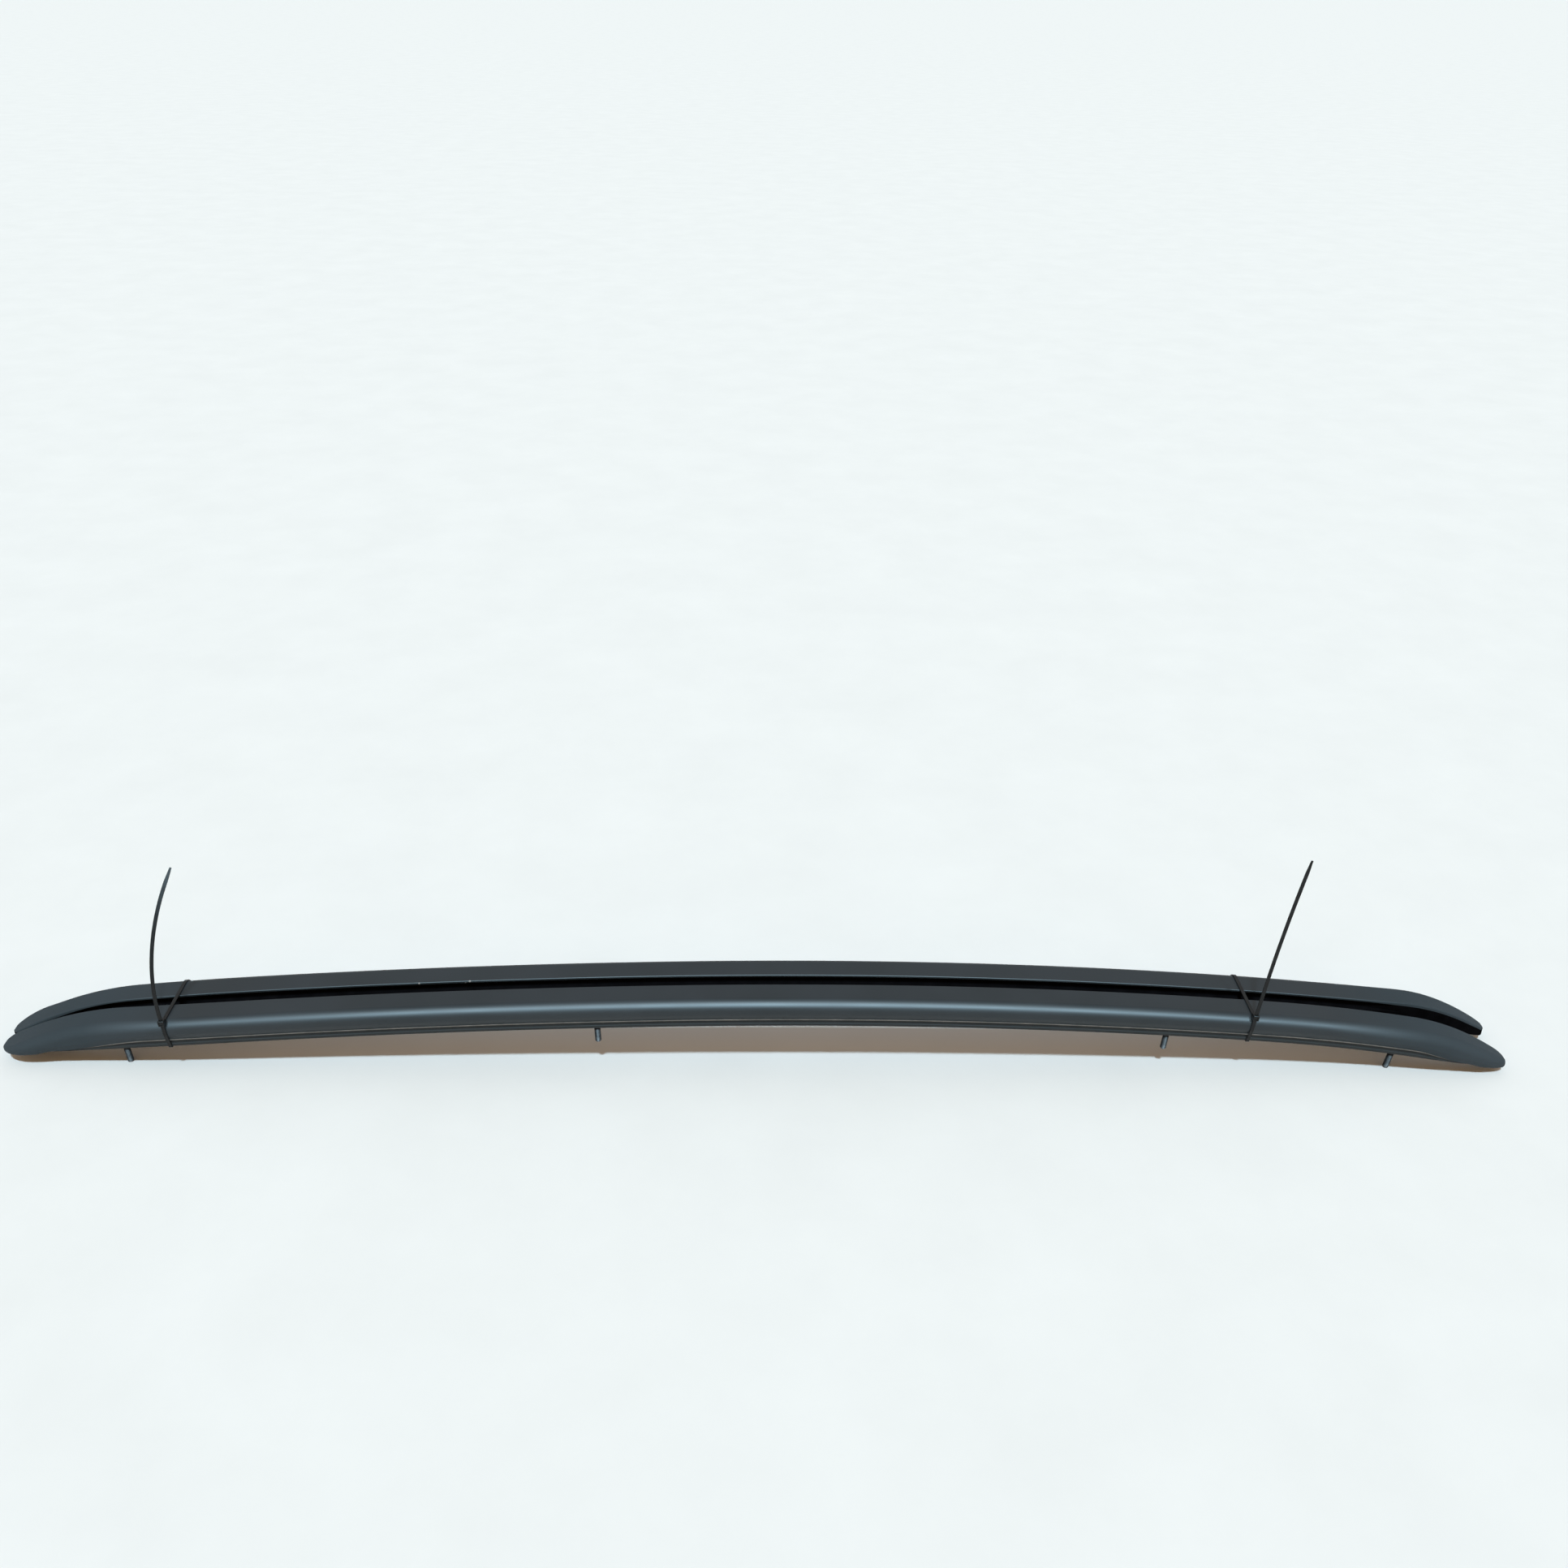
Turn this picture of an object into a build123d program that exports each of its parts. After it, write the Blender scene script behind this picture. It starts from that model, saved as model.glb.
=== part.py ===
"""Pair of flush roof side rails, strapped together by two cable ties and standing on their end studs.

X runs along the rails with the front end at +X, Y runs from the right-hand rail to the left-hand rail,
and Z is up. Lengths are in millimetres. Each rail is described on its own section axes: u runs from the
inner lip outwards, and v runs up from the line where the bar meets its base seal.
"""
import math
import os

from build123d import *

# Rail line, seen from the side: bend radii outwards from the crown
RAIL_LENGTH = 1980.0
RAIL_HALF = RAIL_LENGTH / 2
CROWN_X = 0.0677 * RAIL_HALF
CROWN_RADIUS = 7500.0
REAR_BEND_START = 0.1778 * RAIL_HALF
REAR_BEND_RADIUS = 11000.0
FRONT_BEND_START = 0.5859 * RAIL_HALF
FRONT_BEND_RADIUS = 3460.0

# Rail line, seen from above: the rails close up at the rear and part at the front
RAIL_GAP = 20.2
TOE_IN_START = 0.6869 * RAIL_HALF
TOE_IN_RADIUS = 5000.0
FLARE_START = 0.695 * RAIL_HALF
FLARE_RADIUS = 3640.0

# Bar section
BAR_WIDTH = 41.0
BAR_HEIGHT = 27.0
SHOULDER_RADIUS = 13.0
SIDE_TUCK = 3.0
BELT_HEIGHT = 8.5
BELT_RADIUS = 12.0
LIP_RADIUS = 1.2
WALL = 3.0

# Clamp groove under the inner lip
LIP_THICKNESS = 3.0
LIP_DRAFT = 1.5
GROOVE_DEPTH = 5.0
GROOVE_HEIGHT = 13.0
GROOVE_END_DEPTH = 0.8
GROOVE_FADE = 60.0
GROOVE_REAR_END = 62.0
GROOVE_FRONT_END = 125.0

# Stud channel in the underside of the bar
SLOT_WIDTH = 9.6
CHANNEL_END = 138.0

# Formed ends of the bar
REAR_NOSE_LENGTH = 165.0
REAR_NOSE_THICKNESS = 3.6
REAR_INNER_ROUND = 16.0
REAR_OUTER_ROUND = 40.0
REAR_WEDGE_START = 198.0
FRONT_NOSE_LENGTH = 130.0
FRONT_NOSE_THICKNESS = 9.0
FRONT_INNER_ROUND = 10.0
FRONT_OUTER_ROUND = 115.0
FRONT_WEDGE_START = 135.0
TOE_DIP = 2.5
TOE_RUN = 28.0
TIP_SHARE = 0.38
TIP_CUT = 1.0
NOSE_LIP_SHARE = 0.2
NOSE_SHOULDER_GAIN = 1.1

# Base seal
SEAL_HEIGHT = 11.7
SEAL_END_HEIGHT = 1.2
REAR_SEAL_END = 76.0
FRONT_SEAL_END = 61.0
SEAL_INSET = 1.4
SEAL_LIP_FLARE = 0.8
SEAL_LIP_WIDTH = 6.0
SEAL_RECESS = 2.0
SEAL_RECESS_SHARE = 0.5
SEAL_FIT = 0.05

# Studs, spacers and washers
REAR_STUD_INSET = 160.0
FRONT_STUD_INSET = 151.0
STUD_X = {
    "rear": REAR_STUD_INSET - RAIL_HALF,
    "mid_rear": -0.2182 * RAIL_HALF,
    "mid_front": 0.5384 * RAIL_HALF,
    "front": RAIL_HALF - FRONT_STUD_INSET,
}
STUD_RADIUS = 4.0
STUD_REACH = 34.0
STUD_CHAMFER = 1.0
NECK_RADIUS = 4.4
HEAD_WIDTH = 20.0
HEAD_LENGTH = 16.0
HEAD_THICKNESS = 4.0
HEAD_FILLET = 2.0
HEAD_CLEARANCE = 0.05
SPACER_RADIUS = 9.0
WASHER_RADIUS = 10.5
WASHER_THICKNESS = 2.5
STUD_CLEARANCE = 0.1

# Cable ties
REAR_TIE_INSET = 229.0
FRONT_TIE_INSET = 357.0
TIE_X = {"rear": REAR_TIE_INSET - RAIL_HALF, "front": RAIL_HALF - FRONT_TIE_INSET}
STRAP_WIDTH = 4.8
STRAP_THICKNESS = 1.3
STRAP_CLEARANCE = 0.2
TIE_HEAD_WIDTH = 8.0
TIE_HEAD_HEIGHT = 8.0
TIE_HEAD_SEAT = 2.0
TIE_HEAD_REACH = 5.2
TIE_HEAD_WALL = 1.9
TIE_HEAD_FILLET = 0.8
TIE_SLOT_CLEARANCE = 0.2
STRAP_CORNER_RADIUS = 1.2
TAIL_LENGTH = {"rear": 190.0, "front": 217.0}
TAIL_BEND_RADIUS = {"rear": 290.0, "front": 2600.0}
TAIL_TURN = {"rear": 38.0, "front": 82.0}
TAIL_TIP_LENGTH = 18.0
TAIL_TIP_WIDTH = 2.6

# Places of the sections that the lofts pass through
NOSE_STEPS = (3.0, 6.0, 10.0, 15.5, 22.5, 32.0, 44.0, 60.0, 80.0, 106.0, 136.0, 168.0, 205.0)
BODY_STEPS = 12


def bend_drop(distance, start, radius):
    """Fall of the rail line at a distance from the crown: a crown arc, then a tangent end arc."""
    inside = min(distance, start)
    beyond = max(distance - start, 0.0)
    crown_fall = inside**2 / (2 * CROWN_RADIUS)
    return crown_fall + beyond * start / CROWN_RADIUS + beyond**2 / (2 * radius)


def arch_drop(x):
    """How far the rail line lies below its crown at x."""
    if x < CROWN_X:
        return bend_drop(CROWN_X - x, REAR_BEND_START, REAR_BEND_RADIUS)
    return bend_drop(x - CROWN_X, FRONT_BEND_START, FRONT_BEND_RADIUS)


def arch_slope(x):
    """Slope dz/dx of the rail line at x."""
    step = 0.5
    return (arch_drop(x - step) - arch_drop(x + step)) / (2 * step)


def half_gap(x):
    """Distance of the inner lip from the plane midway between the rails."""
    toe_in = max(-x - TOE_IN_START, 0.0) ** 2 / (2 * TOE_IN_RADIUS)
    flare = max(x - FLARE_START, 0.0) ** 2 / (2 * FLARE_RADIUS)
    return RAIL_GAP / 2 - toe_in + flare


def ease(share):
    """Smooth step from 0 to 1."""
    share = min(max(share, 0.0), 1.0)
    return share * share * (3 - 2 * share)


def rounded_loss(distance, length):
    """Share of the width lost at a distance from an end that is a quarter of an ellipse."""
    rest = 1 - min(distance / length, 1.0)
    return 1 - math.sqrt(1 - rest**2)


def width_and_shift(x):
    """Width of the bar at x, and how far its inner side has moved outwards."""
    rear = x + RAIL_HALF
    front = RAIL_HALF - x
    inner = rounded_loss(rear, REAR_INNER_ROUND) + rounded_loss(front, FRONT_INNER_ROUND)
    outer = rounded_loss(rear, REAR_OUTER_ROUND) + rounded_loss(front, FRONT_OUTER_ROUND)
    shift = BAR_WIDTH * TIP_SHARE * inner
    return BAR_WIDTH - shift - BAR_WIDTH * (1 - TIP_SHARE) * outer, shift


def nose_fall(distance, length, thickness):
    """Fall of the bar's top at a distance from a tip, down to the tip's own thickness."""
    whole = BAR_HEIGHT + SEAL_HEIGHT + TOE_DIP - thickness
    return whole * max(1 - distance / length, 0.0) ** 2


def bar_top(x):
    """Height v of the bar's top at x."""
    rear = nose_fall(x + RAIL_HALF, REAR_NOSE_LENGTH, REAR_NOSE_THICKNESS)
    front = nose_fall(RAIL_HALF - x, FRONT_NOSE_LENGTH, FRONT_NOSE_THICKNESS)
    return BAR_HEIGHT - rear - front


def toe_fall(distance, wedge_start, seal_end):
    """Fall of the bar's underside near a tip: a wedge over the seal, then the toe."""
    wedge = (SEAL_HEIGHT - SEAL_END_HEIGHT) * ease((wedge_start - distance) / (wedge_start - seal_end))
    return wedge + (SEAL_END_HEIGHT + TOE_DIP) * ease((seal_end - distance) / TOE_RUN)


def bar_bottom(x):
    """Height v of the bar's underside at x."""
    rear = toe_fall(x + RAIL_HALF, REAR_WEDGE_START, REAR_SEAL_END)
    front = toe_fall(RAIL_HALF - x, FRONT_WEDGE_START, FRONT_SEAL_END)
    return -rear - front


def stud_tip_fall(x):
    """How far below the crown of the rail line the lowest edge of a stud's end lies."""
    tilt = math.atan(abs(arch_slope(x)))
    reach = (SEAL_HEIGHT + STUD_REACH) * math.cos(tilt) - SEAL_HEIGHT
    return arch_drop(x) + reach + (STUD_RADIUS - STUD_CHAMFER) * math.sin(tilt)


# The lowest stud stands on the ground
CROWN_HEIGHT = max(stud_tip_fall(x) for x in STUD_X.values())


def seam_height(x):
    """Height above the ground of the line v = 0, where the bar meets the seal."""
    return CROWN_HEIGHT - arch_drop(x) + SEAL_HEIGHT


def section_plane(x):
    """Plane across the right-hand rail at x, with u outwards from the lip and v upwards."""
    return Plane(origin=(x, -half_gap(x), seam_height(x)), x_dir=(0, -1, 0), z_dir=(-1, 0, 0))


def normal_plane(x, u):
    """Plane square to the rail line at x, on the seam line: local Z is the rail's own upward normal."""
    slope = arch_slope(x)
    return Plane(origin=(x, -half_gap(x) - u, seam_height(x)), x_dir=(1, 0, slope), z_dir=(-slope, 0, 1))


def stations(rear_end, front_end):
    """Section places between two distances from the tips."""
    rear = [-RAIL_HALF + step for step in NOSE_STEPS if step > rear_end]
    front = [RAIL_HALF - step for step in reversed(NOSE_STEPS) if step > front_end]
    span = front[0] - rear[-1]
    body = [rear[-1] + span * i / BODY_STEPS for i in range(1, BODY_STEPS)]
    return [-RAIL_HALF + rear_end] + rear + body + front + [RAIL_HALF - front_end]


def section_face(x, corners, radii):
    """Face across the rail at x, with its corners rounded."""
    outline = FilletPolyline(*corners, radius=radii, close=True)
    return section_plane(x) * make_face(outline)


def polygon_face(x, corners):
    """Face across the rail at x, with sharp corners."""
    return section_plane(x) * make_face(Polyline(*corners, close=True))


def body_section(x):
    """Outer section of the bar at x."""
    width, shift = width_and_shift(x)
    top = bar_top(x)
    bottom = bar_bottom(x)
    height = top - bottom
    scale = min(height / BAR_HEIGHT, width / BAR_WIDTH, 1.0)
    corners = (
        (shift, bottom),
        (shift + width - SIDE_TUCK * scale, bottom),
        (shift + width, bottom + height * BELT_HEIGHT / BAR_HEIGHT),
        (shift + width, top),
        (shift, top),
    )
    lip = LIP_RADIUS * scale + (1 - scale) * NOSE_LIP_SHARE * height
    radii = (0, 0, BELT_RADIUS * scale, SHOULDER_RADIUS * min(scale * NOSE_SHOULDER_GAIN, 1.0), lip)
    return section_face(x, corners, radii)


def make_body():
    """Bar with its formed ends, before any cut."""
    return loft([body_section(x) for x in stations(TIP_CUT, TIP_CUT)])


CHANNEL_INNER = GROOVE_DEPTH + WALL
CHANNEL_OUTER = BAR_WIDTH - SIDE_TUCK - WALL
STUD_LINE = (BAR_WIDTH - SIDE_TUCK) / 2


def channel_section(x):
    """T-shaped hollow that holds the stud heads, open through a slot in the underside."""
    below = -SEAL_HEIGHT - TOE_DIP
    top = BAR_HEIGHT - WALL
    slot_inner = STUD_LINE - SLOT_WIDTH / 2
    slot_outer = STUD_LINE + SLOT_WIDTH / 2
    corners = (
        (slot_inner, below),
        (slot_outer, below),
        (slot_outer, WALL),
        (CHANNEL_OUTER, WALL),
        (CHANNEL_OUTER, top - WALL),
        (CHANNEL_OUTER - WALL, top),
        (CHANNEL_INNER, top),
        (CHANNEL_INNER, WALL),
        (slot_inner, WALL),
    )
    return polygon_face(x, corners)


def groove_section(x):
    """Clamp groove under the inner lip, which grows shallow at both ends."""
    rear_share = (x + RAIL_HALF - GROOVE_REAR_END) / GROOVE_FADE
    front_share = (RAIL_HALF - x - GROOVE_FRONT_END) / GROOVE_FADE
    depth = GROOVE_END_DEPTH + (GROOVE_DEPTH - GROOVE_END_DEPTH) * ease(min(rear_share, front_share))
    shift = width_and_shift(x)[1]
    top = bar_top(x) - LIP_THICKNESS
    low = top - GROOVE_HEIGHT
    outside = shift - GROOVE_DEPTH
    corners = (
        (outside, top + LIP_DRAFT),
        (shift + depth, top - LIP_DRAFT),
        (shift + depth, low + LIP_DRAFT),
        (outside, low - LIP_DRAFT),
    )
    return polygon_face(x, corners)


def make_bar(body):
    """Right-hand bar with its stud channel and clamp groove cut."""
    channel = loft([channel_section(x) for x in stations(CHANNEL_END, CHANNEL_END)])
    groove = loft([groove_section(x) for x in stations(GROOVE_REAR_END, GROOVE_FRONT_END)])
    return body - channel - groove


def seal_section(x):
    """Section of the seal strip before the bar is taken out of its top."""
    width, shift = width_and_shift(x)
    inner = shift + SEAL_INSET
    outer = shift + width - SIDE_TUCK - SEAL_INSET
    depth = min(SEAL_RECESS, SEAL_RECESS_SHARE * (SEAL_HEIGHT + bar_bottom(x)))
    recess = depth - SEAL_HEIGHT
    corners = (
        (inner, WALL),
        (inner - SEAL_LIP_FLARE, -SEAL_HEIGHT),
        (inner + SEAL_LIP_WIDTH - depth / 2, -SEAL_HEIGHT),
        (inner + SEAL_LIP_WIDTH, recess),
        (outer - SEAL_LIP_WIDTH, recess),
        (outer - SEAL_LIP_WIDTH + depth / 2, -SEAL_HEIGHT),
        (outer + SEAL_LIP_FLARE, -SEAL_HEIGHT),
        (outer, WALL),
    )
    return polygon_face(x, corners)


def upright_cylinder(x, radius, low, high):
    """Cylinder round a stud's axis, between two heights on the rail's own normal."""
    return normal_plane(x, STUD_LINE) * Pos(0, 0, (low + high) / 2) * Cylinder(radius, high - low)


def make_seal(body):
    """Base seal: it fills the space under the bar, with a hole for each spacer."""
    seal = loft([seal_section(x) for x in stations(REAR_SEAL_END, FRONT_SEAL_END)])
    seal -= Pos(0, 0, -SEAL_FIT) * body
    for x in STUD_X.values():
        seal -= upright_cylinder(x, SPACER_RADIUS + STUD_CLEARANCE, -2 * SEAL_HEIGHT, SEAL_HEIGHT)
    return seal


def make_stud(x):
    """Stud bolt: a flat head in the channel, a plain neck and a threaded end."""
    place = normal_plane(x, STUD_LINE)
    seat = WALL + HEAD_CLEARANCE
    head = Pos(0, 0, seat + HEAD_THICKNESS / 2) * Box(HEAD_LENGTH, HEAD_WIDTH, HEAD_THICKNESS)
    head = fillet(head.edges().filter_by(Axis.Z), HEAD_FILLET)
    neck_end = SEAL_RECESS - SEAL_HEIGHT - WASHER_THICKNESS
    neck = Pos(0, 0, (seat + neck_end) / 2) * Cylinder(NECK_RADIUS, seat - neck_end)
    tip = -SEAL_HEIGHT - STUD_REACH
    thread = Pos(0, 0, (neck_end + tip) / 2) * Cylinder(STUD_RADIUS, neck_end - tip)
    thread = chamfer(thread.edges().group_by(Axis.Z)[0], STUD_CHAMFER)
    return place * (head + neck + thread)


def make_spacer(x, body):
    """Hard sleeve round a stud, between the bar's underside and the recess in the seal."""
    low = SEAL_RECESS - SEAL_HEIGHT
    sleeve = upright_cylinder(x, SPACER_RADIUS, low, WALL)
    bore = upright_cylinder(x, NECK_RADIUS + STUD_CLEARANCE, 2 * low, 2 * WALL)
    return sleeve - bore - Pos(0, 0, -SEAL_FIT) * body


def make_washer(x):
    """Soft sealing ring under a spacer, round the neck of its stud."""
    top = SEAL_RECESS - SEAL_HEIGHT
    ring = upright_cylinder(x, WASHER_RADIUS, top - WASHER_THICKNESS, top)
    return ring - upright_cylinder(x, NECK_RADIUS + STUD_CLEARANCE, 2 * top, SEAL_HEIGHT)


def tie_plane(x):
    """Plane of a tie's loop, square to the rail line: local X is Y, local Y is the rail's own normal."""
    slope = arch_slope(x)
    origin = (x, 0, seam_height(x) - SEAL_HEIGHT)
    return Plane(origin=origin, x_dir=(0, 1, 0), z_dir=(1, 0, slope))


def make_tie(end):
    """Cable tie round both rails: head on the right-hand rail's shoulder, tail standing up from it."""
    x = TIE_X[end]
    place = tie_plane(x)
    stand_off = STRAP_CLEARANCE + STRAP_THICKNESS / 2
    side = half_gap(x) + BAR_WIDTH + stand_off
    foot = half_gap(x) + BAR_WIDTH - SIDE_TUCK - SEAL_INSET + SEAL_LIP_FLARE + stand_off
    belt = SEAL_HEIGHT + BELT_HEIGHT
    top = SEAL_HEIGHT + BAR_HEIGHT
    over = top + stand_off
    under = -stand_off
    head_low = top - TIE_HEAD_SEAT
    head_high = head_low + TIE_HEAD_HEIGHT

    # Strap: from the head over both rails, down, back underneath and up through the head
    corners = (
        (TIE_HEAD_REACH - side, over),
        (side, over),
        (side, belt),
        (foot, under),
        (-foot, under),
        (-side, belt),
        (-side, head_high),
    )
    radii = (
        SHOULDER_RADIUS + stand_off,
        BELT_RADIUS,
        STRAP_CORNER_RADIUS,
        STRAP_CORNER_RADIUS,
        BELT_RADIUS,
    )
    route = place * FilletPolyline(*corners, radius=radii)
    ribbon = sweep(
        Plane(route @ 0, x_dir=place.z_dir, z_dir=route % 0) * Rectangle(STRAP_WIDTH, STRAP_THICKNESS),
        path=route,
    )

    # Head: a block with a slot that the strap passes through
    outer_wall = -side - STRAP_THICKNESS / 2 - TIE_SLOT_CLEARANCE - TIE_HEAD_WALL
    inner_wall = TIE_HEAD_REACH - side
    block = Box(inner_wall - outer_wall, head_high - head_low, TIE_HEAD_WIDTH)
    block = fillet(block.edges(), TIE_HEAD_FILLET)
    block = Pos((inner_wall + outer_wall) / 2, (head_low + head_high) / 2, 0) * block
    slot_thickness = STRAP_THICKNESS + 2 * TIE_SLOT_CLEARANCE
    slot = Pos(-side, (head_low + head_high) / 2, 0)
    slot *= Box(slot_thickness, 2 * TIE_HEAD_HEIGHT, STRAP_WIDTH + 2 * TIE_SLOT_CLEARANCE)
    head = place * (block - slot)

    # Tail: a stiff strap that bends gently away from the head
    start = place.from_local_coords((-side, head_high, 0))
    up = place.y_dir
    turn = math.radians(TAIL_TURN[end])
    lean = place.x_dir * math.cos(turn) + place.z_dir * math.sin(turn)
    bend_angle = -math.degrees(TAIL_LENGTH[end] / TAIL_BEND_RADIUS[end])
    tail_plane = Plane(start, x_dir=lean, z_dir=lean.cross(up))
    tail_route = tail_plane * JernArc((0, 0), (0, 1), TAIL_BEND_RADIUS[end], bend_angle)
    tail_section = Plane(tail_route @ 0, x_dir=place.z_dir, z_dir=tail_route % 0)
    tail = sweep(tail_section * Rectangle(STRAP_WIDTH, STRAP_THICKNESS), path=tail_route)
    tip_width_dir = place.z_dir.rotate(Axis((0, 0, 0), tail_plane.z_dir), bend_angle)
    tip_plane = Plane(tail_route @ 1, x_dir=tip_width_dir, z_dir=tail_route % 1)
    tip = loft([
        tip_plane * Rectangle(STRAP_WIDTH, STRAP_THICKNESS),
        tip_plane.offset(TAIL_TIP_LENGTH) * Rectangle(TAIL_TIP_WIDTH, STRAP_THICKNESS),
    ])
    return ribbon + head + tail + tip


def make_right_rail():
    """All pieces of the right-hand rail, by name."""
    body = make_body()
    pieces = {"rail_bar": make_bar(body), "base_seal": make_seal(body)}
    for end, x in STUD_X.items():
        pieces["stud_" + end] = make_stud(x)
        pieces["spacer_" + end] = make_spacer(x, body)
        pieces["washer_" + end] = make_washer(x)
    return pieces


def make_pair():
    """Both rails and the ties, with the origin under the middle of the whole pair."""
    pair = {}
    for name, piece in make_right_rail().items():
        pair["right_" + name] = piece
        pair["left_" + name] = mirror(piece, about=Plane.XZ)
    for end in TIE_X:
        pair[end + "_cable_tie"] = make_tie(end)
    box = Compound(children=[Compound(piece.solids()) for piece in pair.values()]).bounding_box()
    shift = Pos(-box.center().X, -box.center().Y, -box.min.Z)
    return {name: shift * piece for name, piece in pair.items()}


def main():
    """Write one file for each piece."""
    os.makedirs("parts", exist_ok=True)
    for name, piece in make_pair().items():
        export_step(piece, "parts/" + name + ".step")


main()
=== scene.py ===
"""Looks of the pair of roof side rails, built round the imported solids. Lengths are in metres unless said."""
import math

import bmesh
import bpy
from mathutils import Matrix, Vector


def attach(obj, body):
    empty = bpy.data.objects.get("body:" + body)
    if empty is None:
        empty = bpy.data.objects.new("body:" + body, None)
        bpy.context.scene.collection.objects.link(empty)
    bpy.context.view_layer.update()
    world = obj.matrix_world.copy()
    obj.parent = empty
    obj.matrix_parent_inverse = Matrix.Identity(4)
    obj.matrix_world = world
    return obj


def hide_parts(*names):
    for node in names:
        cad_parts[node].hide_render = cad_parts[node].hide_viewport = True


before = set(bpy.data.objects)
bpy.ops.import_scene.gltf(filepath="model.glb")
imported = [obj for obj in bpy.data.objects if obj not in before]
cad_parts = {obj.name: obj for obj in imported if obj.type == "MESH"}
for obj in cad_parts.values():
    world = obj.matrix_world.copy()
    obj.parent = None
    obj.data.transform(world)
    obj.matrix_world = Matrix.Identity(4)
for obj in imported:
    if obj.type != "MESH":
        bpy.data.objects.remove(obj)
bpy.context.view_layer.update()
scene = bpy.context.scene

MM = 0.001

# Rail line, seen from the side. Down to the cable ties, the sizes are those of the part's source, in
# millimetres and by the same names
RAIL_LENGTH = 1980.0
RAIL_HALF = RAIL_LENGTH / 2
CROWN_X = 0.0677 * RAIL_HALF
CROWN_RADIUS = 7500.0
REAR_BEND_START = 0.1778 * RAIL_HALF
REAR_BEND_RADIUS = 11000.0
FRONT_BEND_START = 0.5859 * RAIL_HALF
FRONT_BEND_RADIUS = 3460.0

# Rail line, seen from above
RAIL_GAP = 20.2
TOE_IN_START = 0.6869 * RAIL_HALF
TOE_IN_RADIUS = 5000.0
FLARE_START = 0.695 * RAIL_HALF
FLARE_RADIUS = 3640.0

# Bar section
BAR_WIDTH = 41.0
BAR_HEIGHT = 27.0
SHOULDER_RADIUS = 13.0
SIDE_TUCK = 3.0
BELT_HEIGHT = 8.5
BELT_RADIUS = 12.0
LIP_RADIUS = 1.2
WALL = 3.0

# Clamp groove under the inner lip
LIP_THICKNESS = 3.0
LIP_DRAFT = 1.5
GROOVE_DEPTH = 5.0
GROOVE_HEIGHT = 13.0
GROOVE_FADE = 60.0
GROOVE_REAR_END = 62.0
GROOVE_FRONT_END = 125.0

# Formed ends of the bar
REAR_NOSE_LENGTH = 165.0
REAR_NOSE_THICKNESS = 3.6
REAR_INNER_ROUND = 16.0
REAR_OUTER_ROUND = 40.0
REAR_WEDGE_START = 198.0
FRONT_NOSE_LENGTH = 130.0
FRONT_NOSE_THICKNESS = 9.0
FRONT_INNER_ROUND = 10.0
FRONT_OUTER_ROUND = 115.0
FRONT_WEDGE_START = 135.0
TOE_DIP = 2.5
TOE_RUN = 28.0
TIP_SHARE = 0.38
TIP_CUT = 1.0
NOSE_LIP_SHARE = 0.2
NOSE_SHOULDER_GAIN = 1.1

# Base seal
SEAL_HEIGHT = 11.7
SEAL_END_HEIGHT = 1.2
REAR_SEAL_END = 76.0
FRONT_SEAL_END = 61.0
SEAL_INSET = 1.4
SEAL_LIP_FLARE = 0.8
SEAL_LIP_WIDTH = 6.0
SEAL_RECESS = 2.0
SEAL_RECESS_SHARE = 0.5
SEAL_FIT = 0.05

# Studs and washers
REAR_STUD_INSET = 160.0
FRONT_STUD_INSET = 151.0
STUD_X = {
    "rear": REAR_STUD_INSET - RAIL_HALF,
    "mid_rear": -0.2182 * RAIL_HALF,
    "mid_front": 0.5384 * RAIL_HALF,
    "front": RAIL_HALF - FRONT_STUD_INSET,
}
STUD_RADIUS = 4.0
STUD_REACH = 34.0
STUD_CHAMFER = 1.0
NECK_RADIUS = 4.4
HEAD_WIDTH = 20.0
HEAD_LENGTH = 16.0
HEAD_THICKNESS = 4.0
HEAD_CLEARANCE = 0.05
WASHER_THICKNESS = 2.5
STUD_LINE = (BAR_WIDTH - SIDE_TUCK) / 2

# Cable ties
REAR_TIE_INSET = 229.0
FRONT_TIE_INSET = 357.0
TIE_X = {"rear": REAR_TIE_INSET - RAIL_HALF, "front": RAIL_HALF - FRONT_TIE_INSET}
STRAP_WIDTH = 4.8
STRAP_THICKNESS = 1.3
STRAP_CLEARANCE = 0.2
STRAP_CORNER_RADIUS = 1.2
TIE_HEAD_WIDTH = 8.0
TIE_HEAD_HEIGHT = 8.0
TIE_HEAD_SEAT = 2.0
TIE_HEAD_REACH = 5.2
TIE_HEAD_WALL = 1.9
TIE_SLOT_CLEARANCE = 0.2
TAIL_LENGTH = {"rear": 190.0, "front": 217.0}
TAIL_BEND_RADIUS = {"rear": 290.0, "front": 2600.0}
TAIL_TURN = {"rear": 38.0, "front": 82.0}
TAIL_TIP_LENGTH = 18.0
TAIL_TIP_WIDTH = 2.6

# Detail of the bars: lengths in millimetres, shares, and the number of the corner where the groove starts
BAR_EDGE = 0.7
LIP_SPARE = 1.2
GROOVE_SPARE = 4.0
GROOVE_MOUTH_FADE = 0.8
GROOVE_MOUTH_ROUND = 0.4
GROOVE_FLOOR_ROUND = 0.8
GROOVE_CORNER = 6
TIP_ROUND = 1.2
TIP_KEEP = 0.72
DULL_START = 735.0
DULL_FULL = 870.0

# Light spots on the left-hand rail's lip: place along the rail, depth below the top, and size
LIP_SPOTS = ((-449.0, 1.2, 1.6), (-383.0, 0.6, 1.9), (-388.5, 4.0, 2.2))
SPOT_CORE = 0.4

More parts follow.
